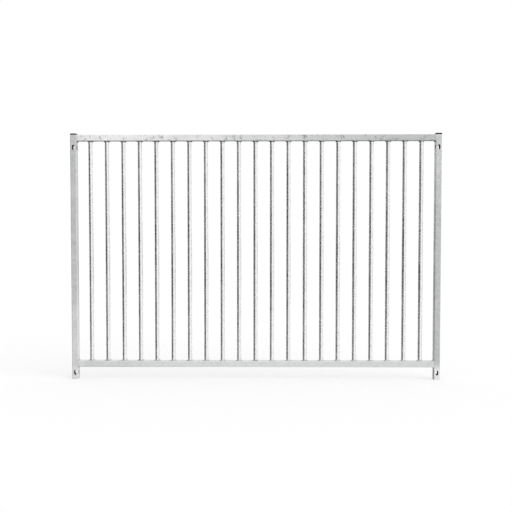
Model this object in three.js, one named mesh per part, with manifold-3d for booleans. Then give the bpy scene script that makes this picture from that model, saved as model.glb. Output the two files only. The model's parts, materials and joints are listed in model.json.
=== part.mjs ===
// A crowd control barrier panel: a welded frame of square steel tube filled with upright round tubes.
// The two posts run past the bottom rail as feet, are slotted near both ends so that panels and bases
// bolt on, and are closed at the top by black plastic end caps.
// Millimetres, +Z up. The origin is on the floor, midway between the posts. The panel stands in the XZ plane.
import * as THREE from "three";
import { mergeVertices } from "three/addons/utils/BufferGeometryUtils.js";
import Module from "manifold-3d";

// Overall
const panelWidth = 1500; // over the outer faces of the posts
const panelHeight = 1000; // floor to the top of the end caps
const footHeight = 50; // floor to the underside of the bottom rail

// Square tube of the posts and rails
const tubeSize = 25;
const tubeWall = 2;
const tubeCorner = 2.5; // outside corner radius

// Round tube of the infill bars
const barDiameter = 17.2;
const barWall = 2;
const barPitch = 67;
const leastEndGap = 30; // least clear gap between the last bar and its post

// Bolt slots: one through the front and back and one through the sides, near both ends of each post
const slotWidth = 11;
const slotLength = 20;
const topSlotDrop = 51; // post's top end to the centre of the top slot
const footSlotHeight = 28; // floor to the centre of the foot slot

// Holes that let air and zinc through the joints when the welded frame is galvanised
const ventDiameter = 8;

// End caps: a head that covers the tube and a ribbed plug inside it
const capHead = 6;
const capEdge = 1.8; // rounding of the head's upper edge
const capClearance = 0.3; // between the plug's ribs and the tube
const capPlugDepth = 16;
const capPlugWall = 1.6;
const capRibs = 3;
const capRibHeight = 1.6;
const capRibProud = 0.8; // how far a rib stands out of the plug's wall

// Facets
const cornerFacets = 3;
const barFacets = 24;
const slotFacets = 6;
const ventFacets = 12;

const postX = (panelWidth - tubeSize) / 2;
const postLength = panelHeight - capHead;
const railLength = panelWidth - 2 * tubeSize;
const topRailZ = postLength - tubeSize; // underside of the top rail
const barBottomZ = footHeight + tubeSize;
const barLength = topRailZ - barBottomZ;
const barCount = Math.floor((railLength - 2 * leastEndGap - barDiameter) / barPitch) + 1;
const tubeBore = tubeSize - 2 * tubeWall;
const tubeBoreCorner = Math.max(tubeCorner - tubeWall, 0.5);
const cutThrough = 2 * tubeSize; // length of a cutting tool that passes right through a tube

const zinc = new THREE.MeshStandardMaterial({ color: 0xc6c8c9, roughness: 0.42, metalness: 0.9 });
const blackPlastic = new THREE.MeshStandardMaterial({ color: 0x1c1c1d, roughness: 0.55, metalness: 0 });

const wasm = await Module();
wasm.setup();

function solidOf(geometry) {
  const bare = geometry.clone();
  bare.deleteAttribute("normal");
  bare.deleteAttribute("uv");
  const merged = mergeVertices(bare, 1e-4);
  const triVerts = new Uint32Array(merged.index.array);
  const vertProperties = merged.attributes.position.array;
  return new wasm.Manifold(new wasm.Mesh({ numProp: 3, vertProperties, triVerts }));
}

function geometryOf(solid) {
  const { numProp, vertProperties, triVerts } = solid.getMesh();
  const geometry = new THREE.BufferGeometry();
  geometry.setAttribute("position", new THREE.BufferAttribute(vertProperties, numProp));
  geometry.setIndex(new THREE.BufferAttribute(triVerts, 1));
  const faceted = geometry.toNonIndexed();
  faceted.computeVertexNormals();
  return faceted;
}

// A square with rounded corners, centred on the origin.
function roundedSquare(side, radius, Outline = THREE.Shape) {
  const half = side / 2;
  const flat = half - radius;
  const outline = new Outline();
  outline.moveTo(flat, -half);
  outline.absarc(flat, -flat, radius, -Math.PI / 2, 0, false);
  outline.absarc(flat, flat, radius, 0, Math.PI / 2, false);
  outline.absarc(-flat, flat, radius, Math.PI / 2, Math.PI, false);
  outline.absarc(-flat, -flat, radius, Math.PI, 1.5 * Math.PI, false);
  return outline;
}

function extrude(shape, depth, curveSegments) {
  return new THREE.ExtrudeGeometry(shape, { depth, curveSegments, bevelEnabled: false });
}

// Square tube standing on z = 0, open at both ends.
function squareTube(length) {
  const section = roundedSquare(tubeSize, tubeCorner);
  section.holes.push(roundedSquare(tubeBore, tubeBoreCorner, THREE.Path));
  return extrude(section, length, cornerFacets);
}

// An upright bolt slot's cutting tool, along Y, centred on the origin.
function slotCutter() {
  const radius = slotWidth / 2;
  const straight = (slotLength - slotWidth) / 2;
  const outline = new THREE.Shape();
  outline.absarc(0, straight, radius, 0, Math.PI, false);
  outline.absarc(0, -straight, radius, Math.PI, 2 * Math.PI, false);
  const cutter = extrude(outline, cutThrough, slotFacets);
  return cutter.translate(0, 0, -cutThrough / 2).rotateX(Math.PI / 2);
}

// A round vent's cutting tool, from the origin along +Z.
function ventCutter() {
  const cutter = new THREE.CylinderGeometry(ventDiameter / 2, ventDiameter / 2, tubeSize, ventFacets);
  return cutter.rotateX(Math.PI / 2).translate(0, 0, tubeSize / 2);
}

// A post standing on z = 0. The vents open into the rails, towards inwards (+1 for +X, -1 for -X).
function post(inwards) {
  let solid = solidOf(squareTube(postLength));
  for (const z of [footSlotHeight, postLength - topSlotDrop]) {
    solid = solid.subtract(solidOf(slotCutter().translate(0, 0, z)));
    solid = solid.subtract(solidOf(slotCutter().rotateZ(Math.PI / 2).translate(0, 0, z)));
  }
  for (const z of [footHeight + tubeSize / 2, topRailZ + tubeSize / 2]) {
    solid = solid.subtract(solidOf(ventCutter().rotateY((inwards * Math.PI) / 2).translate(0, 0, z)));
  }
  return geometryOf(solid);
}

function barPlaces() {
  return Array.from({ length: barCount }, (_, i) => (i - (barCount - 1) / 2) * barPitch);
}

// A rail along X, centred on the origin. Its vents open into the bars, towards (+1 for up, -1 for down).
function rail(towards) {
  const tube = squareTube(railLength).translate(0, 0, -railLength / 2).rotateY(Math.PI / 2);
  let solid = solidOf(tube);
  for (const x of barPlaces()) {
    const vent = ventCutter().rotateX(towards > 0 ? 0 : Math.PI).translate(x, 0, 0);
    solid = solid.subtract(solidOf(vent));
  }
  return geometryOf(solid);
}

// A round tube standing on z = 0, open at both ends.
function bar() {
  const outside = barDiameter / 2;
  const bore = outside - barWall;
  const profile = [
    [bore, 0],
    [outside, 0],
    [outside, barLength],
    [bore, barLength],
    [bore, 0],
  ].map(([x, y]) => new THREE.Vector2(x, y));
  return new THREE.LatheGeometry(profile, barFacets).rotateX(Math.PI / 2);
}

// An end cap with the underside of its head on z = 0 and its plug hanging below.
function endCap() {
  const skirt = capHead - capEdge;
  const pillowShape = roundedSquare(tubeSize - 2 * capEdge, Math.max(tubeCorner - capEdge, 0.5));
  const pillow = new THREE.ExtrudeGeometry(pillowShape, {
    depth: skirt - capEdge,
    bevelThickness: capEdge,
    bevelSize: capEdge,
    bevelSegments: 3,
    curveSegments: cornerFacets,
  }).translate(0, 0, capEdge);
  const slab = extrude(roundedSquare(tubeSize, tubeCorner), skirt, cornerFacets);
  const ribSide = tubeBore - 2 * capClearance;
  const plugSide = ribSide - 2 * capRibProud;
  const plugShape = roundedSquare(plugSide, tubeBoreCorner);
  const ribShape = roundedSquare(ribSide, tubeBoreCorner);
  const plug = extrude(plugShape, capPlugDepth + skirt, cornerFacets).translate(0, 0, -capPlugDepth);
  const hollowShape = roundedSquare(plugSide - 2 * capPlugWall, tubeBoreCorner);
  const hollow = extrude(hollowShape, capPlugDepth, cornerFacets).translate(0, 0, -capPlugDepth - capPlugWall);
  let solid = solidOf(pillow).add(solidOf(slab)).add(solidOf(plug));
  const ribSpacing = (capPlugDepth - capRibHeight) / capRibs;
  for (let i = 0; i < capRibs; i += 1) {
    const low = -capPlugDepth + i * ribSpacing;
    solid = solid.add(solidOf(extrude(ribShape, capRibHeight, cornerFacets).translate(0, 0, low)));
  }
  return geometryOf(solid.subtract(solidOf(hollow)));
}

function piece(name, geometry, material, x, z) {
  const mesh = new THREE.Mesh(geometry, material);
  mesh.name = name;
  mesh.position.set(x, 0, z);
  return mesh;
}

// A post with its cap, at one end of the panel.
function panelEnd(label, side) {
  const end = new THREE.Group();
  end.position.x = side * postX;
  end.add(piece(`${label}_post`, post(-side), zinc, 0, 0));
  end.add(piece(`${label}_end_cap`, endCap(), blackPlastic, 0, postLength));
  return end;
}

function rails() {
  const pair = new THREE.Group();
  pair.add(piece("top_rail", rail(-1), zinc, 0, topRailZ + tubeSize / 2));
  pair.add(piece("bottom_rail", rail(1), zinc, 0, footHeight + tubeSize / 2));
  return pair;
}

function bars() {
  const infill = new THREE.Group();
  infill.position.z = barBottomZ;
  barPlaces().forEach((x, i) => {
    infill.add(piece(`bar_${String(i + 1).padStart(2, "0")}`, bar(), zinc, x, 0));
  });
  return infill;
}

const panel = new THREE.Group();
panel.add(panelEnd("left", -1), panelEnd("right", 1), rails(), bars());

export default panel;
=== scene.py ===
import json
import math
import random

import bmesh
import bpy
from mathutils import Matrix, Vector, noise


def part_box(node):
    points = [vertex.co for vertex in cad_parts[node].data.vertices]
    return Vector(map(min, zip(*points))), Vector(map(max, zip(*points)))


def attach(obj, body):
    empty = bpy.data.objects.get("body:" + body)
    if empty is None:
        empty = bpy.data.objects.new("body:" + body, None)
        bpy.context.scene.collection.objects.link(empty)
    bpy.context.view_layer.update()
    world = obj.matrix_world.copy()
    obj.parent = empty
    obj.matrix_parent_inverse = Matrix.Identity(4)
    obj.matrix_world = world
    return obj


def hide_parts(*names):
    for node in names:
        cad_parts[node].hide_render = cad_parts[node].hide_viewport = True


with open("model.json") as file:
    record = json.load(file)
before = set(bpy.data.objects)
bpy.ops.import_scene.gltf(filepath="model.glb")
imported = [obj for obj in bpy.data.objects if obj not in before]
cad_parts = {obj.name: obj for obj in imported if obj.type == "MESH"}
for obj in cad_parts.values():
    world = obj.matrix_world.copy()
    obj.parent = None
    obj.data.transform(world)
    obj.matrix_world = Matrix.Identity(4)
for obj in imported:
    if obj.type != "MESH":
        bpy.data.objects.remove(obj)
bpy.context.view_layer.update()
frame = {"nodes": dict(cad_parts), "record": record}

# A crowd control barrier panel: a square tube frame with upright round tubes, welded and then galvanised,
# and two plastic end caps. Metres, +Z up, +X along the panel, the front towards -Y.
MM = 0.001
QUARTER_TURN = math.pi / 2
FULL_TURN = 2 * math.pi
CAST = random.Random(41)  # what makes no two bar welds alike

# From the frame
post_low, post_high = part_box("left_post")
rail_low, rail_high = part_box("bottom_rail")
TUBE = post_high.x - post_low.x
BARS = sorted(name for name in frame["nodes"] if name.startswith("bar_"))

# Tubes
TUBE_WALL = 2 * MM
TUBE_CORNER = 2.5 * MM
CORNER_STEPS = 7
CUT_EDGE = 0.45 * MM  # zinc rounds off every sawn and punched edge by this much
BAR_WALL = 2 * MM
BAR_STEPS = 40
SLOT_WIDTH = 11 * MM
SLOT_LENGTH = 20 * MM
SLOT_STEPS = 28

# Painted light on the posts' feet, whose zinc is painted brighter below the bottom rail
FOOT_TOP = rail_low.z + 20 * MM  # where it begins
FOOT_FULL = rail_low.z - 15 * MM  # where it is at its brightest
FOOT_PAINTED_LIGHT = 0.65

# Welds
WELD_LEG = 4.4 * MM  # from the corner to the bead's edge on either tube
LEG_SPREAD = (0.85, 1.1)  # the least and the most of that leg round a bar
WELD_SUNK = 0.7 * MM  # how deep the bead's hidden sides go into the tubes
WELD_BULGE = 0.35 * MM
WELD_STEPS = 8
WELD_ROOM = 0.6 * MM  # from a bead's toe to the face of the square tube
FULL_ROOM = 1.2 * WELD_LEG  # with less room than this, a bar's bead is drawn in
WELD_LUMP = 0.5 * MM
LUMP_SCALE = 1.3
LUMP_DRIFT = 9  # how far from the noise's origin a bead's lumps may be taken, along X and Y
STOP_SPREAD = 0.06  # square radians, of the lump where the welder stopped
SWELL_SHARE = 0.7  # of a swelling, outwards and upwards
RIPPLE_PITCH = 2.6 * MM
RIPPLE_STEPS = 4  # of the sweep, for each ripple
RIPPLE_HEIGHT = 0.22 * MM
RIPPLE_LAG = 2.2  # radians that a bar bead's ripple trails at its toes
RIPPLE_SLANT = 90  # radians that a straight bead's ripple trails in a metre of its width
RIPPLE_SHARE = 0.035  # of a straight bead's size
BEAD_END = 0.45  # the share of a straight bead's size that its ends keep

# End caps
CAP_EDGE = 1.8 * MM
CAP_EDGE_STEPS = 6
CAP_CROWN = 0.5 * MM
CAP_CROWN_STEPS = 4
CAP_CENTRE = 0.08  # the share of the crown's width that is flat
CAP_PLUG_WALL = 1.6 * MM
CAP_PLUG_CLEARANCE = 1.1 * MM  # between the plug's wall and the tube
CAP_PLUG_CORNER = 0.5 * MM
CAP_PLUG_STEPS = 3
CAP_RIBS = 3
CAP_RIB_PROUD = 0.8 * MM
CAP_RIB_HEIGHT = 1.6 * MM

# Studio
SKY_STRENGTH = 0.86  # what the white backdrop lights with
FLOOR_GLOW = 0.44  # what brings the floor up to the backdrop's white where it is seen
FLOOR_REACH = 60  # from the middle to each side


# ---------------------------------------------------------------- materials


def colour(code):
    """Linear RGBA of an sRGB hex colour."""
    parts = [int(code[i:i + 2], 16) / 255 for i in (1, 3, 5)]
    linear = [p / 12.92 if p <= 0.04045 else ((p + 0.055) / 1.055) ** 2.4 for p in parts]
    return (*linear, 1.0)


def add(tree, kind, links=None, **settings):
    """A new node with its settings. links gives each input, by name or number, a value or an output."""
    node = tree.nodes.new(kind)
    for name, value in settings.items():
        setattr(node, name, value)
    for name, value in (links or {}).items():
        if isinstance(value, bpy.types.NodeSocket):
            tree.links.new(value, node.inputs[name])
        else:
            node.inputs[name].default_value = value
    return node


def empty_tree(owner):
    """The node tree of a material or a world, with nothing in it."""
    owner.use_nodes = True
    owner.node_tree.nodes.clear()
    return owner.node_tree


def start_material(name):
    """An empty material with a Principled shader on its output."""
    material = bpy.data.materials.new(name)
    tree = empty_tree(material)
    shader = add(tree, "ShaderNodeBsdfPrincipled")
    add(tree, "ShaderNodeOutputMaterial", {"Surface": shader.outputs["BSDF"]})
    return material, tree, shader


def hot_dip_zinc(name, seed, film=(0.0, 0.15), scuffs=0.1, tones=("#ebecec", "#fcfcfc"), gloss=(0.2, 0.32),
                 film_tone="#dfe0e0", greyer=None, underside_shade=0.0, burnish_and_highlight=0.0, foot_side_shade=0.0):
    """Hot-dip galvanised steel. The molten zinc freezes as a spangle of flat crystals, each its own grey and
    gloss, with soft runs in the coat. A dull white carbonate film clouds it, and it is scuffed darker where
    panels rub in the stack. film gives the film's least and most cover. greyer is (axis, from, to, share)
    for a tone that gets greyer along the piece. grime is painted shade, darkening the faces that look down.
    burnish gives the corners less film and scuff and more gloss, as polish from wear, and a brighter tone as
    a painted highlight. clamped is for a post, whose foot is painted brighter as painted light, and whose
    sides there are painted darker by that share as painted shade."""
    spangle = 8 * MM
    run_width = 14 * MM
    film_width = 90 * MM
    scuff_width = 18 * MM
    grit = 1.6 * MM
    material, tree, shader = start_material(name)
    where = add(tree, "ShaderNodeTexCoord")
    shifted = add(tree, "ShaderNodeMapping",
                  {"Vector": where.outputs["Object"], "Location": (seed, seed * 0.7, seed * 1.3)})
    place = shifted.outputs["Vector"]

    # Spangle, film and scuffs
    warp = add(tree, "ShaderNodeTexNoise", {"Vector": place, "Scale": 1 / spangle, "Detail": 2.0})
    warped = add(tree, "ShaderNodeVectorMath",
                 {0: warp.outputs["Color"], 1: (spangle * 0.8,) * 3, 2: place}, operation="MULTIPLY_ADD")
    crystals = add(tree, "ShaderNodeTexVoronoi", {"Vector": warped.outputs[0], "Scale": 1 / spangle})
    crystal = add(tree, "ShaderNodeSeparateColor", {"Color": crystals.outputs["Color"]})
    clouds = add(tree, "ShaderNodeTexNoise",
                 {"Vector": place, "Scale": 1 / film_width, "Detail": 4.0, "Roughness": 0.6})
    cover = add(tree, "ShaderNodeMapRange",
                {"Value": clouds.outputs["Fac"], "From Min": 0.38, "From Max": 0.66,
                 "To Min": film[0], "To Max": film[1]}, interpolation_type="SMOOTHSTEP")
    rubbed = add(tree, "ShaderNodeTexNoise",
                 {"Vector": place, "Scale": 1 / scuff_width, "Detail": 5.0, "Roughness": 0.62,
                  "Distortion": 0.6})
    scuff = add(tree, "ShaderNodeMapRange",
                {"Value": rubbed.outputs["Fac"], "From Min": 0.54, "From Max": 0.7, "To Max": scuffs})
    polish = add(tree, "ShaderNodeMapRange",
                 {"Value": crystal.outputs["Green"], "To Min": gloss[0], "To Max": gloss[1]})

    # Tone, from the crystals up
    film_share = cover.outputs["Result"]
    scuff_share = scuff.outputs["Result"]
    tone = add(tree, "ShaderNodeMix",
               {"Factor": crystal.outputs["Red"], 6: colour(tones[0]), 7: colour(tones[1])},
               data_type="RGBA")
    tone = add(tree, "ShaderNodeMix", {"Factor": film_share, 6: tone.outputs[2], 7: colour(film_tone)},
               data_type="RGBA")
    if greyer:
        axis, begin, finish, share = greyer
        along = add(tree, "ShaderNodeSeparateXYZ", {"Vector": where.outputs["Object"]})
        grey = add(tree, "ShaderNodeMapRange",
                   {"Value": along.outputs[axis], "From Min": begin, "From Max": finish, "To Max": share},
                   interpolation_type="SMOOTHSTEP")
        tone = add(tree, "ShaderNodeMix",
                   {"Factor": grey.outputs["Result"], 6: tone.outputs[2], 7: colour("#a0a2a3")},
                   data_type="RGBA")
    # Corners: less film and scuff and more gloss, as polish from wear, and a brighter tone as a painted
    # highlight.
    if burnish_and_highlight:
        facing = add(tree, "ShaderNodeVectorMath", {0: where.outputs["Normal"]}, operation="ABSOLUTE")
        parts = add(tree, "ShaderNodeSeparateXYZ", {"Vector": facing.outputs[0]})
        squarest = add(tree, "ShaderNodeMath", {0: parts.outputs["X"], 1: parts.outputs["Y"]},
                       operation="MAXIMUM")
        squarest = add(tree, "ShaderNodeMath", {0: squarest.outputs[0], 1: parts.outputs["Z"]},
                       operation="MAXIMUM")
        corner = add(tree, "ShaderNodeMapRange",
                     {"Value": squarest.outputs[0], "From Min": 0.99, "From Max": 0.85, "To Max": burnish_and_highlight},
                     interpolation_type="SMOOTHSTEP")
        kept = add(tree, "ShaderNodeMath", {0: 1.0, 1: corner.outputs["Result"]}, operation="SUBTRACT")
        tone = add(tree, "ShaderNodeMix",
                   {"Factor": corner.outputs["Result"], 6: tone.outputs[2], 7: colour("#f4f4f4")},
                   data_type="RGBA")
        thinned = add(tree, "ShaderNodeMath", {0: film_share, 1: kept.outputs[0]}, operation="MULTIPLY")
        film_share = thinned.outputs[0]
        cleaned = add(tree, "ShaderNodeMath", {0: scuff_share, 1: kept.outputs[0]}, operation="MULTIPLY")
        scuff_share = cleaned.outputs[0]
        polish = add(tree, "ShaderNodeMath", {0: corner.outputs["Result"], 1: -0.15, 2: polish.outputs[0]},
                     operation="MULTIPLY_ADD")
    tone = add(tree, "ShaderNodeMix", {"Factor": scuff_share, 6: tone.outputs[2], 7: colour("#737577")},
               data_type="RGBA")
    # Painted shade: the faces that look down are painted darker.
    if underside_shade:
        level = add(tree, "ShaderNodeSeparateXYZ", {"Vector": where.outputs["Normal"]})
        under = add(tree, "ShaderNodeMapRange",
                    {"Value": level.outputs["Z"], "From Min": -0.15, "From Max": -0.7, "To Max": underside_shade},
                    interpolation_type="SMOOTHSTEP")
        tone = add(tree, "ShaderNodeMix",
                   {"Factor": under.outputs["Result"], 6: tone.outputs[2], 7: colour("#434547")},
                   data_type="RGBA")
    # Painted light and shade on a post's foot: brighter below the bottom rail, and darker on its sides
    # there.
    if foot_side_shade:
        height = add(tree, "ShaderNodeSeparateXYZ", {"Vector": where.outputs["Object"]})
        foot = add(tree, "ShaderNodeMapRange",
                   {"Value": height.outputs["Z"], "From Min": FOOT_TOP, "From Max": FOOT_FULL,
                    "To Max": FOOT_PAINTED_LIGHT}, interpolation_type="SMOOTHSTEP")
        tone = add(tree, "ShaderNodeMix",
                   {"Factor": foot.outputs["Result"], 6: tone.outputs[2], 7: colour("#fafafa")},
                   data_type="RGBA")
        side = add(tree, "ShaderNodeSeparateXYZ", {"Vector": where.outputs["Normal"]})
        side = add(tree, "ShaderNodeMath", {0: side.outputs["X"]}, operation="ABSOLUTE")
        side = add(tree, "ShaderNodeMapRange",
                   {"Value": side.outputs[0], "From Min": 0.6, "From Max": 0.95, "To Max": foot_side_shade},
                   interpolation_type="SMOOTHSTEP")
        painted_foot_shade = add(tree, "ShaderNodeMath", {0: foot.outputs["Result"], 1: side.outputs["Result"]},
                    operation="MULTIPLY")
        tone = add(tree, "ShaderNodeMix",
                   {"Factor": painted_foot_shade.outputs[0], 6: tone.outputs[2], 7: colour("#4a4c4e")}, data_type="RGBA")

    # The film and the scuffs dull the metal
    metal = add(tree, "ShaderNodeMath", {0: 1.0, 1: film_share}, operation="SUBTRACT")
    duller = add(tree, "ShaderNodeMath", {0: film_share, 1: 0.12, 2: polish.outputs[0]},
                 operation="MULTIPLY_ADD")
    roughness = add(tree, "ShaderNodeMath", {0: scuff_share, 1: 0.2, 2: duller.outputs[0]},
                    operation="MULTIPLY_ADD")

    # Runs and grit
    runs = add(tree, "ShaderNodeTexNoise", {"Vector": place, "Scale": 1 / run_width, "Detail": 1.0})
    coat = add(tree, "ShaderNodeBump",
               {"Height": runs.outputs["Fac"], "Strength": 1.0, "Distance": 0.12 * MM})
    specks = add(tree, "ShaderNodeTexNoise", {"Vector": place, "Scale": 1 / grit, "Detail": 2.0})
    grain = add(tree, "ShaderNodeBump",
                {"Height": specks.outputs["Fac"], "Strength": 0.3, "Distance": 0.02 * MM,
                 "Normal": coat.outputs["Normal"]})
    tree.links.new(tone.outputs[2], shader.inputs["Base Color"])
    tree.links.new(metal.outputs[0], shader.inputs["Metallic"])
    tree.links.new(roughness.outputs[0], shader.inputs["Roughness"])
    tree.links.new(grain.outputs["Normal"], shader.inputs["Normal"])
    return material


def painted_shade_bore():
    """The inside of the posts at their closed upper end: dull zinc painted dark as painted shade, with a
    mottled tone.
    """
    mottle_width = 9 * MM
    material, tree, shader = start_material("tube_bore_zinc")
    place = add(tree, "ShaderNodeTexCoord").outputs["Object"]
    bore_mottle = add(tree, "ShaderNodeTexNoise", {"Vector": place, "Scale": 1 / mottle_width, "Detail": 4.0})
    share = add(tree, "ShaderNodeMapRange",
                {"Value": bore_mottle.outputs["Fac"], "From Min": 0.35, "From Max": 0.65})
    tone = add(tree, "ShaderNodeMix",
               {"Factor": share.outputs["Result"], 6: colour("#232425"), 7: colour("#424446")},
               data_type="RGBA")
    lumps = add(tree, "ShaderNodeBump",
                {"Height": bore_mottle.outputs["Fac"], "Strength": 0.6, "Distance": 0.3 * MM})
    shader.inputs["Metallic"].default_value = 0.4
    shader.inputs["Roughness"].default_value = 0.75
    tree.links.new(tone.outputs[2], shader.inputs["Base Color"])
    tree.links.new(lumps.outputs["Normal"], shader.inputs["Normal"])
    return material


def moulded_polyethylene():
    """Black low-density polyethylene, moulded in a spark-eroded tool: a waxy satin with a fine even grain,
    and a little grey chalking where hands and weather have been at it."""
    chalk_width = 7 * MM
    spark_width = 0.5 * MM
    material, tree, shader = start_material("moulded_polyethylene")
    place = add(tree, "ShaderNodeTexCoord").outputs["Object"]
    chalk = add(tree, "ShaderNodeTexNoise",
                {"Vector": place, "Scale": 1 / chalk_width, "Detail": 5.0, "Roughness": 0.65})
    worn = add(tree, "ShaderNodeMapRange",
               {"Value": chalk.outputs["Fac"], "From Min": 0.45, "From Max": 0.75})
    black = add(tree, "ShaderNodeMix",
                {"Factor": worn.outputs["Result"], 6: colour("#09090a"), 7: colour("#1c1c1d")},
                data_type="RGBA")
    gloss = add(tree, "ShaderNodeMapRange", {"Value": chalk.outputs["Fac"], "To Min": 0.6, "To Max": 0.8})
    sparks = add(tree, "ShaderNodeTexVoronoi", {"Vector": place, "Scale": 1 / spark_width})
    grain = add(tree, "ShaderNodeBump",
                {"Height": sparks.outputs["Distance"], "Strength": 0.6, "Distance": 0.04 * MM})
    shader.inputs["IOR"].default_value = 1.51
    shader.inputs["Specular IOR Level"].default_value = 0.3
    tree.links.new(black.outputs[2], shader.inputs["Base Color"])
    tree.links.new(gloss.outputs["Result"], shader.inputs["Roughness"])
    tree.links.new(grain.outputs["Normal"], shader.inputs["Normal"])
    return material


# ---------------------------------------------------------------- making and placing meshes


def make_object(bm, name):
    """Turns a bmesh into an object in the scene."""
    mesh = bpy.data.meshes.new(name)
    bm.to_mesh(mesh)
    bm.free()
    made = bpy.data.objects.new(name, mesh)
    bpy.context.scene.collection.objects.link(made)
    return made


def piece(bm, name, material, node=None, modifiers=()):
    """Turns a bmesh into a finished piece that rides on the panel. node is the CAD node it stands for."""
    bmesh.ops.remove_doubles(bm, verts=bm.verts, dist=0.001 * MM)
    bmesh.ops.recalc_face_normals(bm, faces=bm.faces)
    for face in bm.faces:
        face.smooth = True
    made = make_object(bm, name)
    made.data.materials.append(material)
    for kind, settings in modifiers:
        modifier = made.modifiers.new(kind.lower(), kind)
        for key, value in settings.items():
            setattr(modifier, key, value)
    if modifiers:
        apply_modifiers(made)
    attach(made, "root")
    if node:
        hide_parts(node)
    return made


def apply_modifiers(made):
    """Keeps the mesh that an object's modifiers make, and drops the modifiers."""
    seen = bpy.context.evaluated_depsgraph_get()
    seen.update()
    result = bpy.data.meshes.new_from_object(made.evaluated_get(seen))
    made.modifiers.clear()
    made.data = result


SAWN_EDGES = ("BEVEL", {"width": CUT_EDGE, "segments": 2, "limit_method": "ANGLE",
                        "angle_limit": math.radians(50)})
FLAT_SIDES = ("WEIGHTED_NORMAL", {"keep_sharp": True, "weight": 100})


def join(bm, part):
    """Adds one bmesh to another and frees it."""
    bmesh.ops.recalc_face_normals(part, faces=part.faces)
    spare = bpy.data.meshes.new("spare")
    part.to_mesh(spare)
    part.free()
    bm.from_mesh(spare)
    bpy.data.meshes.remove(spare)


def rounded_square(bm, side, radius, steps=CORNER_STEPS):
    """A square face with round corners on the XY plane."""
    grid = bmesh.ops.create_grid(bm, x_segments=1, y_segments=1, size=side / 2)
    bmesh.ops.bevel(bm, geom=grid["verts"], offset=radius, offset_type="OFFSET", segments=steps,
                    profile=0.5, affect="VERTICES", material=-1)
    return bm.faces[:][-1]


def raise_face(bm, face, height):
    """Extrudes a face along Z and returns the new upper face. The old face stays, as a block's floor."""
    grown = bmesh.ops.extrude_face_region(bm, geom=[face], use_keep_orig=True)
    verts = [g for g in grown["geom"] if isinstance(g, bmesh.types.BMVert)]
    bmesh.ops.translate(bm, verts=verts, vec=(0, 0, height))
    return next(g for g in grown["geom"] if isinstance(g, bmesh.types.BMFace))


def shrink_up(bm, face, half, level, new_half, new_level):
    """Extrudes a block's top up from one level to the next, and shrinks it about the Z axis to a new half
    width. Returns the new half width, level and top."""
    top = raise_face(bm, face, new_level - level)
    bmesh.ops.delete(bm, geom=[face], context="FACES_ONLY")
    bmesh.ops.scale(bm, verts=top.verts, vec=(new_half / half, new_half / half, 1))
    return new_half, new_level, top


def hollow_out(bm, wall):
    """Cuts a bore through an upright block, leaving that much wall."""
    ends = [f for f in bm.faces if abs(f.normal.z) > 0.9]
    bmesh.ops.inset_individual(bm, faces=ends, thickness=wall, use_even_offset=True)
    bmesh.ops.delete(bm, geom=ends, context="FACES_ONLY")
    rims = [e for e in bm.edges if e.is_boundary]
    bmesh.ops.bridge_loops(bm, edges=rims)


def square_tube(length, side=TUBE, corner=TUBE_CORNER, steps=CORNER_STEPS, wall=TUBE_WALL):
    """Square tube standing on the XY plane."""
    bm = bmesh.new()
    raise_face(bm, rounded_square(bm, side, corner, steps), length)
    bm.normal_update()
    hollow_out(bm, wall)
    return bm


def slot_cutter(name, opening):
    """The block that a slot is cut with: centred on an opening's box, along its longer level side."""
    low, high = (Vector(corner) for corner in opening["box_m"])
    bm = bmesh.new()
    disc = bmesh.ops.create_circle(bm, cap_ends=True, segments=SLOT_STEPS, radius=SLOT_WIDTH / 2)
    bmesh.ops.rotate(bm, verts=disc["verts"], matrix=Matrix.Rotation(math.pi / SLOT_STEPS, 3, "Z"))
    stretch = (SLOT_LENGTH - SLOT_WIDTH) / 2
    for vert in disc["verts"]:
        vert.co.y += math.copysign(stretch, vert.co.y)
    raise_face(bm, bm.faces[:][0], 2 * TUBE)
    bmesh.ops.translate(bm, verts=bm.verts, vec=(0, 0, -TUBE))
    bmesh.ops.rotate(bm, verts=bm.verts, matrix=Matrix.Rotation(QUARTER_TURN, 3, "X"))
    if high.x - low.x > high.y - low.y:
        bmesh.ops.rotate(bm, verts=bm.verts, matrix=Matrix.Rotation(QUARTER_TURN, 3, "Z"))
    bmesh.ops.translate(bm, verts=bm.verts, vec=(low + high) / 2)
    bmesh.ops.recalc_face_normals(bm, faces=bm.faces)
    return make_object(bm, name)


# ---------------------------------------------------------------- the panel's pieces


def post(side, material):
    """A slotted post. Its tube is sawn to length and its slots are punched through before galvanising."""
    low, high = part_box(f"{side}_post")
    bm = square_tube(high.z - low.z)
    bmesh.ops.translate(bm, verts=bm.verts, vec=((low.x + high.x) / 2, 0, low.z))
    openings = [o for o in frame["record"]["physics"]["openings"] if o["name"].startswith(side)]
    cutters = [slot_cutter(o["name"], o) for o in openings]
    cuts = [("BOOLEAN", {"operation": "DIFFERENCE", "solver": "EXACT", "object": cutter})
            for cutter in cutters]
    made = piece(bm, f"{side}_post_tube", material, f"{side}_post", [*cuts, SAWN_EDGES, FLAT_SIDES])
    for cutter in cutters:
        bpy.data.objects.remove(cutter)
    return made


def line_bore(made, upper, lower):
    """Gives the faces inside a post's tube their own materials, for its upper and its lower half: painted
    shade above, painted light below.
    """
    low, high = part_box(made.name.removesuffix("_tube"))
    inside = TUBE / 2 - TUBE_WALL / 2
    made.data.materials.append(upper)
    made.data.materials.append(lower)
    for face in made.data.polygons:
        across = max(abs(face.center.x - (low.x + high.x) / 2), abs(face.center.y))
        if across < inside:
            face.material_index = 1 if face.center.z > (low.z + high.z) / 2 else 2


def rail(name, material):
    """A rail along X."""
    low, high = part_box(name)
    bm = square_tube(high.x - low.x)
    bmesh.ops.rotate(bm, verts=bm.verts, matrix=Matrix.Rotation(QUARTER_TURN, 3, "Y"))
    bmesh.ops.translate(bm, verts=bm.verts, vec=(low.x, 0, (low.z + high.z) / 2))
    piece(bm, f"{name}_tube", material, name, [SAWN_EDGES, FLAT_SIDES])


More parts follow.
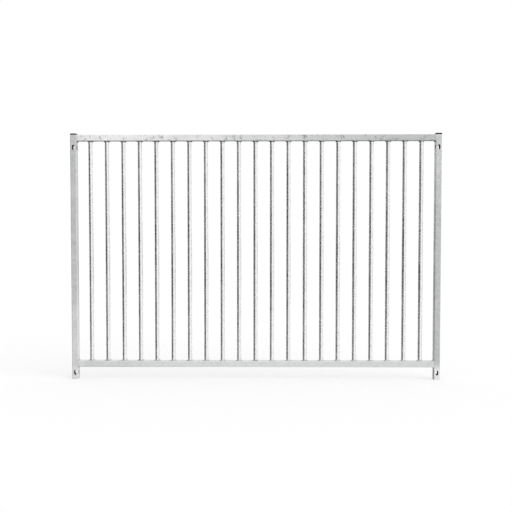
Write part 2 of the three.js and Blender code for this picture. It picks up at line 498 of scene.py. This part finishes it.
def bar(name, material):
    """An upright round tube."""
    low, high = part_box(name)
    centre = (low + high) / 2
    outside = (high.x - low.x) / 2
    bm = bmesh.new()
    inside = outside - BAR_WALL
    wall = outline(bm, [(inside, 0, low.z), (outside, 0, low.z), (outside, 0, high.z), (inside, 0, high.z)])
    bmesh.ops.spin(bm, geom=wall, cent=(0, 0, 0), axis=(0, 0, 1), angle=FULL_TURN, steps=BAR_STEPS,
                   use_merge=True)
    bmesh.ops.translate(bm, verts=bm.verts, vec=(centre.x, centre.y, 0))
    piece(bm, f"{name}_tube", material, name, [SAWN_EDGES, FLAT_SIDES])


def bead_section(leg_up, leg_out):
    """Outline of a weld bead in a corner, as (distance from the upright, height)."""
    points = [(-WELD_SUNK, leg_up)]
    for i in range(WELD_STEPS + 1):
        t = i / WELD_STEPS
        swell = WELD_BULGE * math.sin(math.pi * t) ** 2
        points.append((leg_out * t + swell, leg_up * (1 - t) + swell))
    return [*points, (leg_out, -WELD_SUNK), (-WELD_SUNK, -WELD_SUNK)]


def outline(bm, points):
    """The closed outline through some points, as geometry to sweep."""
    ring = [bm.verts.new(point) for point in points]
    return [*ring, *(bm.edges.new((ring[i - 1], ring[i])) for i in range(len(ring)))]


def bar_weld(x, rail_face, up, radius):
    """The bead round one end of a bar, on a rail's face. up is 1 over the bottom rail, -1 under the top."""
    section = bead_section(WELD_LEG * CAST.uniform(*LEG_SPREAD), WELD_LEG * CAST.uniform(*LEG_SPREAD))
    ripples = round((radius + WELD_LEG / 2) * FULL_TURN / RIPPLE_PITCH)
    start = CAST.uniform(0, FULL_TURN)
    drift = Vector((CAST.uniform(-LUMP_DRIFT, LUMP_DRIFT), CAST.uniform(-LUMP_DRIFT, LUMP_DRIFT), 0))
    bm = bmesh.new()
    ring = outline(bm, [(radius + out, 0, height) for out, height in section])
    bmesh.ops.spin(bm, geom=ring, cent=(0, 0, 0), axis=(0, 0, 1), angle=FULL_TURN,
                   steps=RIPPLE_STEPS * ripples, use_merge=True)
    flat = TUBE / 2 - TUBE_CORNER
    for vert in bm.verts:
        turn = math.atan2(vert.co.y, vert.co.x)
        out = math.hypot(vert.co.x, vert.co.y) - radius
        height = vert.co.z
        if out > -0.5 * WELD_SUNK and height > -0.5 * WELD_SUNK:
            across = (out - height) / WELD_LEG
            share = max(0.0, 1 - across ** 2)
            wave = RIPPLE_HEIGHT * math.cos(ripples * (turn - start) + RIPPLE_LAG * across ** 2)
            around = Vector((math.cos(turn), math.sin(turn), 0))
            lump = WELD_LUMP * noise.noise(drift + around * LUMP_SCALE)
            from_stop = (turn - start + math.pi) % FULL_TURN - math.pi
            stop = WELD_LUMP * math.exp(-from_stop ** 2 / STOP_SPREAD)
            swell = (wave + lump + stop) * share * SWELL_SHARE
            out += swell
            height += swell
        room = (TUBE / 2 - WELD_ROOM) / max(abs(math.sin(turn)), 0.1) - radius
        out *= min(1.0, room / FULL_ROOM)
        vert.co.x = x + (radius + out) * math.cos(turn)
        vert.co.y = (radius + out) * math.sin(turn)
        over = min(max(0.0, abs(vert.co.y) - flat), TUBE_CORNER - WELD_ROOM / 4)
        height -= TUBE_CORNER - math.sqrt(TUBE_CORNER ** 2 - over ** 2)
        vert.co.z = rail_face + up * height
    return bm


def straight_bead(section, length):
    """A bead along Z from the origin, rippled, and drawn in at both ends towards the side that joins the
    section's last point to its first."""
    bm = bmesh.new()
    steps = RIPPLE_STEPS * round(length / RIPPLE_PITCH)
    ring = outline(bm, [(x, y, 0) for x, y in section])
    bmesh.ops.spin(bm, geom=ring, cent=(0, 0, 0), axis=(0, 0, 1), dvec=(0, 0, length / steps), angle=0,
                   steps=steps)
    bmesh.ops.holes_fill(bm, edges=[e for e in bm.edges if e.is_boundary])
    foot = (Vector(section[0]) + Vector(section[-1])) / 2
    for vert in bm.verts:
        from_end = min(max(0.0, min(vert.co.z, length - vert.co.z) / WELD_LEG), 1.0)
        full = math.sqrt(1 - (1 - from_end) ** 2)
        away = Vector((vert.co.x, vert.co.y)) - foot
        ripple = math.cos(FULL_TURN * vert.co.z / RIPPLE_PITCH + RIPPLE_SLANT * away.x)
        away *= (BEAD_END + (1 - BEAD_END) * full) * (1 - RIPPLE_SHARE * (1 - ripple))
        vert.co.x = foot.x + away.x
        vert.co.y = foot.y + away.y
    return bm


def rail_welds(bm, rail, post_face, inwards, sides):
    """Fillets where a rail meets a post, at each (up or down, level) of sides, and seams front and back."""
    low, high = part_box(rail)
    fillet = bead_section(WELD_LEG, WELD_LEG)
    length = TUBE - 2 * WELD_ROOM
    for up, level in sides:
        bead = straight_bead(fillet[-1:] + fillet[:-1], length)
        bmesh.ops.translate(bead, verts=bead.verts, vec=(0, 0, -length / 2))
        bmesh.ops.rotate(bead, verts=bead.verts, matrix=Matrix.Rotation(QUARTER_TURN, 3, "X"))
        bmesh.ops.scale(bead, verts=bead.verts, vec=(inwards, 1, up))
        bmesh.ops.translate(bead, verts=bead.verts, vec=(post_face, 0, level))
        join(bm, bead)
    # The seam fills the post's round corner: (inwards from the post's face, depth behind the tubes' face)
    seam = [(0.2 * MM, 2.8 * MM), (-1.4 * MM, 2.8 * MM), (-2.9 * MM, 0.1 * MM), (-1.9 * MM, 0.07 * MM),
            (-0.9 * MM, 0.04 * MM), (0.1 * MM, 0.04 * MM), (1.0 * MM, 0.12 * MM), (1.0 * MM, 1.2 * MM)]
    for front in (1, -1):
        bead = straight_bead(seam[1:] + seam[:1], high.z - low.z - 2 * CUT_EDGE)
        bmesh.ops.scale(bead, verts=bead.verts, vec=(inwards, front, 1))
        bmesh.ops.translate(bead, verts=bead.verts, vec=(post_face, -front * TUBE / 2, low.z + CUT_EDGE))
        join(bm, bead)


def welds(material):
    """All the beads, one piece for each rail's bars and one for each post's joints."""
    top_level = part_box("top_rail")[0].z
    for name, face, up in (("top_rail", top_level, -1), ("bottom_rail", rail_high.z, 1)):
        bm = bmesh.new()
        for bar_name in BARS:
            low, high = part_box(bar_name)
            join(bm, bar_weld((low.x + high.x) / 2, face, up, (high.x - low.x) / 2))
        piece(bm, f"{name}_bar_welds", material)
    for side, inwards in (("left", 1), ("right", -1)):
        low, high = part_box(f"{side}_post")
        face = high.x if inwards > 0 else low.x
        bm = bmesh.new()
        rail_welds(bm, "top_rail", face, inwards, [(-1, top_level)])
        rail_welds(bm, "bottom_rail", face, inwards, [(-1, rail_low.z), (1, rail_high.z)])
        piece(bm, f"{side}_post_welds", material)


def cap_head(side, material):
    """An end cap's crowned head with a rounded edge."""
    post_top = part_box(f"{side}_post")[1].z
    low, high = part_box(f"{side}_end_cap")
    bm = bmesh.new()
    top = raise_face(bm, rounded_square(bm, TUBE, TUBE_CORNER), high.z - post_top - CAP_CROWN - CAP_EDGE)
    half, level = TUBE / 2, 0.0
    for i in range(1, CAP_EDGE_STEPS + 1):
        turn = QUARTER_TURN * i / CAP_EDGE_STEPS
        half, level, top = shrink_up(bm, top, half, level, TUBE / 2 - CAP_EDGE * (1 - math.cos(turn)),
                                     CAP_EDGE * math.sin(turn))
    flat = half
    for i in range(1, CAP_CROWN_STEPS + 1):
        inwards = (1 - CAP_CENTRE) * i / CAP_CROWN_STEPS
        rise = (1 - (1 - inwards) ** 2) / (1 - CAP_CENTRE ** 2)
        half, level, top = shrink_up(bm, top, half, level, flat * (1 - inwards), CAP_EDGE + CAP_CROWN * rise)
    bmesh.ops.translate(bm, verts=bm.verts, vec=((low.x + high.x) / 2, 0, post_top))
    piece(bm, f"{side}_end_cap_head", material, f"{side}_end_cap", [FLAT_SIDES])


def cap_plug(side, material):
    """An end cap's hollow plug, with ribs that the tube squeezes."""
    low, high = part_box(f"{side}_end_cap")
    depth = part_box(f"{side}_post")[1].z - low.z
    plug_side = TUBE - 2 * TUBE_WALL - 2 * CAP_PLUG_CLEARANCE
    bm = square_tube(depth, plug_side, CAP_PLUG_CORNER, CAP_PLUG_STEPS, CAP_PLUG_WALL)
    for i in range(CAP_RIBS):
        rib = square_tube(CAP_RIB_HEIGHT, plug_side + 2 * CAP_RIB_PROUD, CAP_PLUG_CORNER, CAP_PLUG_STEPS,
                          CAP_RIB_PROUD + CAP_PLUG_WALL / 2)
        bmesh.ops.translate(rib, verts=rib.verts, vec=(0, 0, i * (depth - CAP_RIB_HEIGHT) / CAP_RIBS))
        join(bm, rib)
    bmesh.ops.translate(bm, verts=bm.verts, vec=((low.x + high.x) / 2, 0, low.z))
    piece(bm, f"{side}_end_cap_plug", material)


# ---------------------------------------------------------------- studio


def seen_rays(tree):
    """A socket that is 1 for the rays that show a thing, straight, mirrored or through glass, and 0 for the
    rays that gather its light."""
    path = add(tree, "ShaderNodeLightPath")
    seen = add(tree, "ShaderNodeMath", {0: path.outputs["Is Camera Ray"], 1: path.outputs["Is Glossy Ray"]},
               operation="MAXIMUM")
    seen = add(tree, "ShaderNodeMath", {0: seen.outputs[0], 1: path.outputs["Is Transmission Ray"]},
               operation="MAXIMUM")
    return seen.outputs[0]


def flag(name, place, size, tone, facing=0, upright=True):
    """A dark card that only the metal's reflections see, as set beside shiny metal to draw its edges. It
    stands on the edge whose middle is place, or runs back from it when it isn't upright. size is its width
    and its height or depth, and facing the way it turns about Z, in degrees."""
    bm = bmesh.new()
    bmesh.ops.create_grid(bm, x_segments=1, y_segments=1, size=0.5)
    bmesh.ops.translate(bm, verts=bm.verts, vec=(0, 0.5, 0))
    bmesh.ops.scale(bm, verts=bm.verts, vec=(size[0], size[1], 1))
    if upright:
        bmesh.ops.rotate(bm, verts=bm.verts, matrix=Matrix.Rotation(QUARTER_TURN, 3, "X"))
    bmesh.ops.rotate(bm, verts=bm.verts, matrix=Matrix.Rotation(math.radians(facing), 3, "Z"))
    bmesh.ops.translate(bm, verts=bm.verts, vec=place)
    card = make_object(bm, name)
    material = bpy.data.materials.new(name)
    tree = empty_tree(material)
    cloth = add(tree, "ShaderNodeEmission", {"Color": colour(tone), "Strength": 1.0})
    add(tree, "ShaderNodeOutputMaterial", {"Surface": cloth.outputs[0]})
    material.cycles.emission_sampling = "NONE"
    card.data.materials.append(material)
    card.visible_camera = False
    card.visible_diffuse = False
    card.visible_shadow = False


def floor():
    """A plain white floor that runs on to the backdrop and keeps a soft shadow."""
    bm = bmesh.new()
    bmesh.ops.create_grid(bm, x_segments=1, y_segments=1, size=FLOOR_REACH)
    made = make_object(bm, "floor")
    material = bpy.data.materials.new("white_floor")
    tree = empty_tree(material)
    bounce = add(tree, "ShaderNodeBsdfDiffuse", {"Color": colour("#f4f4f4")})
    paint = add(tree, "ShaderNodeBsdfDiffuse", {"Color": colour("#c4c4c4")})
    glow = add(tree, "ShaderNodeEmission", {"Color": colour("#ffffff"), "Strength": FLOOR_GLOW})
    both = add(tree, "ShaderNodeAddShader", {0: paint.outputs[0], 1: glow.outputs[0]})
    mixed = add(tree, "ShaderNodeMixShader", {0: seen_rays(tree), 1: bounce.outputs[0], 2: both.outputs[0]})
    add(tree, "ShaderNodeOutputMaterial", {"Surface": mixed.outputs[0]})
    made.data.materials.append(material)
    made.visible_glossy = False


def backdrop():
    """A white backdrop all round, which lights the panel less than it shows."""
    world = bpy.data.worlds.new("white_backdrop")
    bpy.context.scene.world = world
    tree = empty_tree(world)
    dim = add(tree, "ShaderNodeBackground", {"Color": colour("#ffffff"), "Strength": SKY_STRENGTH})
    white = add(tree, "ShaderNodeBackground", {"Color": colour("#ffffff"), "Strength": 1.0})
    mixed = add(tree, "ShaderNodeMixShader", {0: seen_rays(tree), 1: dim.outputs[0], 2: white.outputs[0]})
    add(tree, "ShaderNodeOutputWorld", {"Surface": mixed.outputs[0]})


def lamp():
    """A soft key from above on the front right."""
    tilt = math.radians(55)
    turn = math.radians(60)
    data = bpy.data.lights.new("key", "SUN")
    data.energy = 0.9
    data.angle = math.radians(60)
    made = bpy.data.objects.new("key", data)
    made.rotation_euler = (tilt, 0, turn)
    made.visible_glossy = False
    bpy.context.scene.collection.objects.link(made)


def camera():
    """A view from just above the panel's half height, nearly square on to its middle."""
    dip = 0.0322
    turn = 0.0109
    data = bpy.data.cameras.new("camera")
    data.sensor_width = 36
    data.lens = 43.83
    made = bpy.data.objects.new("camera", data)
    made.location = (0.0295, -2.5373, 0.5852)
    made.rotation_euler = (QUARTER_TURN - dip, 0, turn)
    bpy.context.scene.collection.objects.link(made)
    bpy.context.scene.camera = made


def build():
    """Mixes the zincs and the plastic, then makes every piece of the panel."""
    bright_zinc = hot_dip_zinc("bright_hot_dip_zinc", 0.0)
    dull_zinc = hot_dip_zinc("dull_hot_dip_zinc", 1.9, film=(0.5, 0.75), scuffs=0.12,
                             tones=("#dadbdc", "#ededed"), gloss=(0.38, 0.5),
                             greyer=("X", -0.3, 0.75, 0.2), burnish_and_highlight=0.7)
    left_zinc = hot_dip_zinc("handled_zinc_left", 5.3, film=(0.45, 0.7), scuffs=0.2,
                             tones=("#dcdddd", "#eeeeee"), gloss=(0.38, 0.5),
                             greyer=("Z", 0.1, 0.5, 0.33), burnish_and_highlight=0.8, foot_side_shade=0.4)
    right_zinc = hot_dip_zinc("handled_zinc_right", 9.1, film=(0.35, 0.6), scuffs=0.2,
                              tones=("#bfc1c2", "#dcdddd"), gloss=(0.38, 0.5), film_tone="#d0d1d1",
                              greyer=("Z", 0.9, 0.6, 0.3), burnish_and_highlight=0.8, foot_side_shade=0.6)
    rubbed_zinc = hot_dip_zinc("rubbed_hot_dip_zinc", 3.1, film=(0.45, 0.8), scuffs=0.7,
                               tones=("#f0f0f0", "#fdfdfd"), gloss=(0.36, 0.5), film_tone="#f8f8f8",
                               greyer=("X", -0.75, 0.75, 0.68), underside_shade=0.55, burnish_and_highlight=0.4)
    bead_zinc = hot_dip_zinc("zinc_over_weld", 7.7, film=(0.25, 0.5), scuffs=0.6,
                             tones=("#b5b7b9", "#dcdddd"), gloss=(0.34, 0.5), film_tone="#cdcece",
                             underside_shade=0.95)
    bore_zinc = painted_shade_bore()
    # Painted light: the lower bore, open at the foot, is painted nearly white.
    lit_bore_zinc = hot_dip_zinc("painted_light_bore_zinc", 11.3, film=(0.85, 1.0), film_tone="#f2f2f2")
    plastic = moulded_polyethylene()
    for side, zinc in (("left", left_zinc), ("right", right_zinc)):
        line_bore(post(side, zinc), bore_zinc, lit_bore_zinc)
        cap_head(side, plastic)
        cap_plug(side, plastic)
    rail("top_rail", rubbed_zinc)
    rail("bottom_rail", dull_zinc)
    for name in BARS:
        bar(name, bright_zinc)
    welds(bead_zinc)


camera()
backdrop()
lamp()
floor()
flag("dark_flag_left", (-4.5, -0.5, -4.0), (11.0, 10.0), "#262626", facing=90)
flag("dark_flag_front_left", (-12.4, -14.0, -2.4), (20.0, 5.6), "#282828")
flag("dark_flag_behind_left", (-3.5, 5.0, -2.0), (2.0, 4.9), "#303030")
flag("low_flag_behind", (0.0, 5.0, -0.2), (9.0, 0.75), "#404040")
flag("dark_flag_below_left", (-4.0, -4.0, -2.4), (6.4, 8.0), "#404040", upright=False)
build()

bpy.context.scene.view_settings.view_transform = "Standard"
